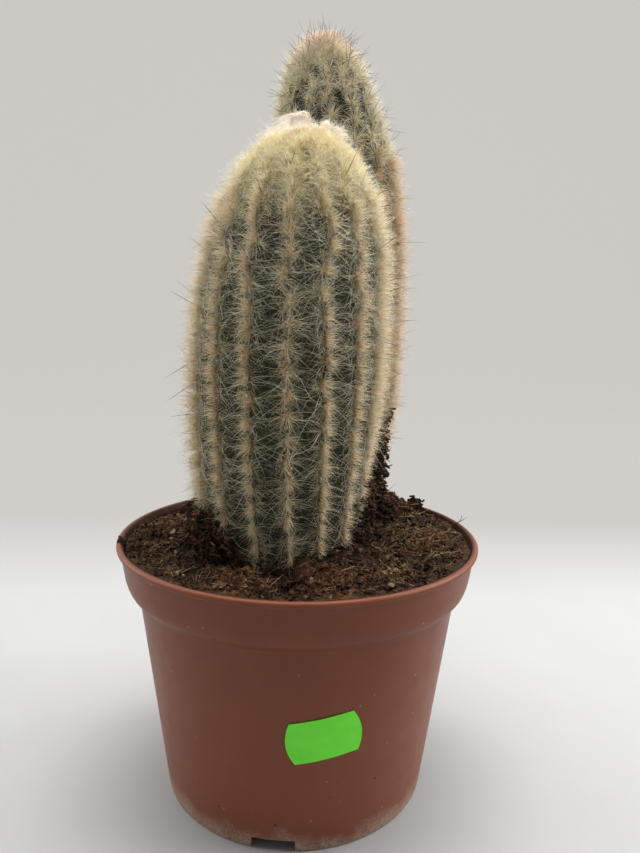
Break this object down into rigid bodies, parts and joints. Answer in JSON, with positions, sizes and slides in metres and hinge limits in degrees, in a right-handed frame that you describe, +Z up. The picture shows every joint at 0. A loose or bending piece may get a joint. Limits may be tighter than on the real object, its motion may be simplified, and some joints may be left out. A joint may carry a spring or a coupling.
{
  "type": "potted old man cactus",
  "caption": "Two ribbed, woolly, bristly cactus columns of unequal height in soil, in a round tapered nursery pot with a deep rim band.",
  "frame": {"origin": "centre of the pot's foot, on the surface that it stands on", "axes": "+Z up; -Y towards the shorter column and the price label; +X to the right of someone who faces the label"},
  "size_m": [0.14, 0.14, 0.2996],
  "materials": {
    "pot_plastic": "terracotta-coloured moulded plastic, satin, with lime scale at the foot",
    "peat": "loose dark peat with lighter brown fibres",
    "front_skin": "grey-green skin under cream, tan and grey bristles and fine hair",
    "back_skin": "grey-green skin under cream and reddish-brown bristles",
    "wool": "soft cream-white plant wool",
    "label_paper": "fluorescent green self-adhesive paper, bare of print"
  },
  "bodies": {
    "root": {"pot": "pot_plastic", "soil": "peat", "front_stem": "front_skin", "back_stem": "back_skin", "crown_wool": "wool", "price_label": "label_paper"}
  },
  "joints": []
}
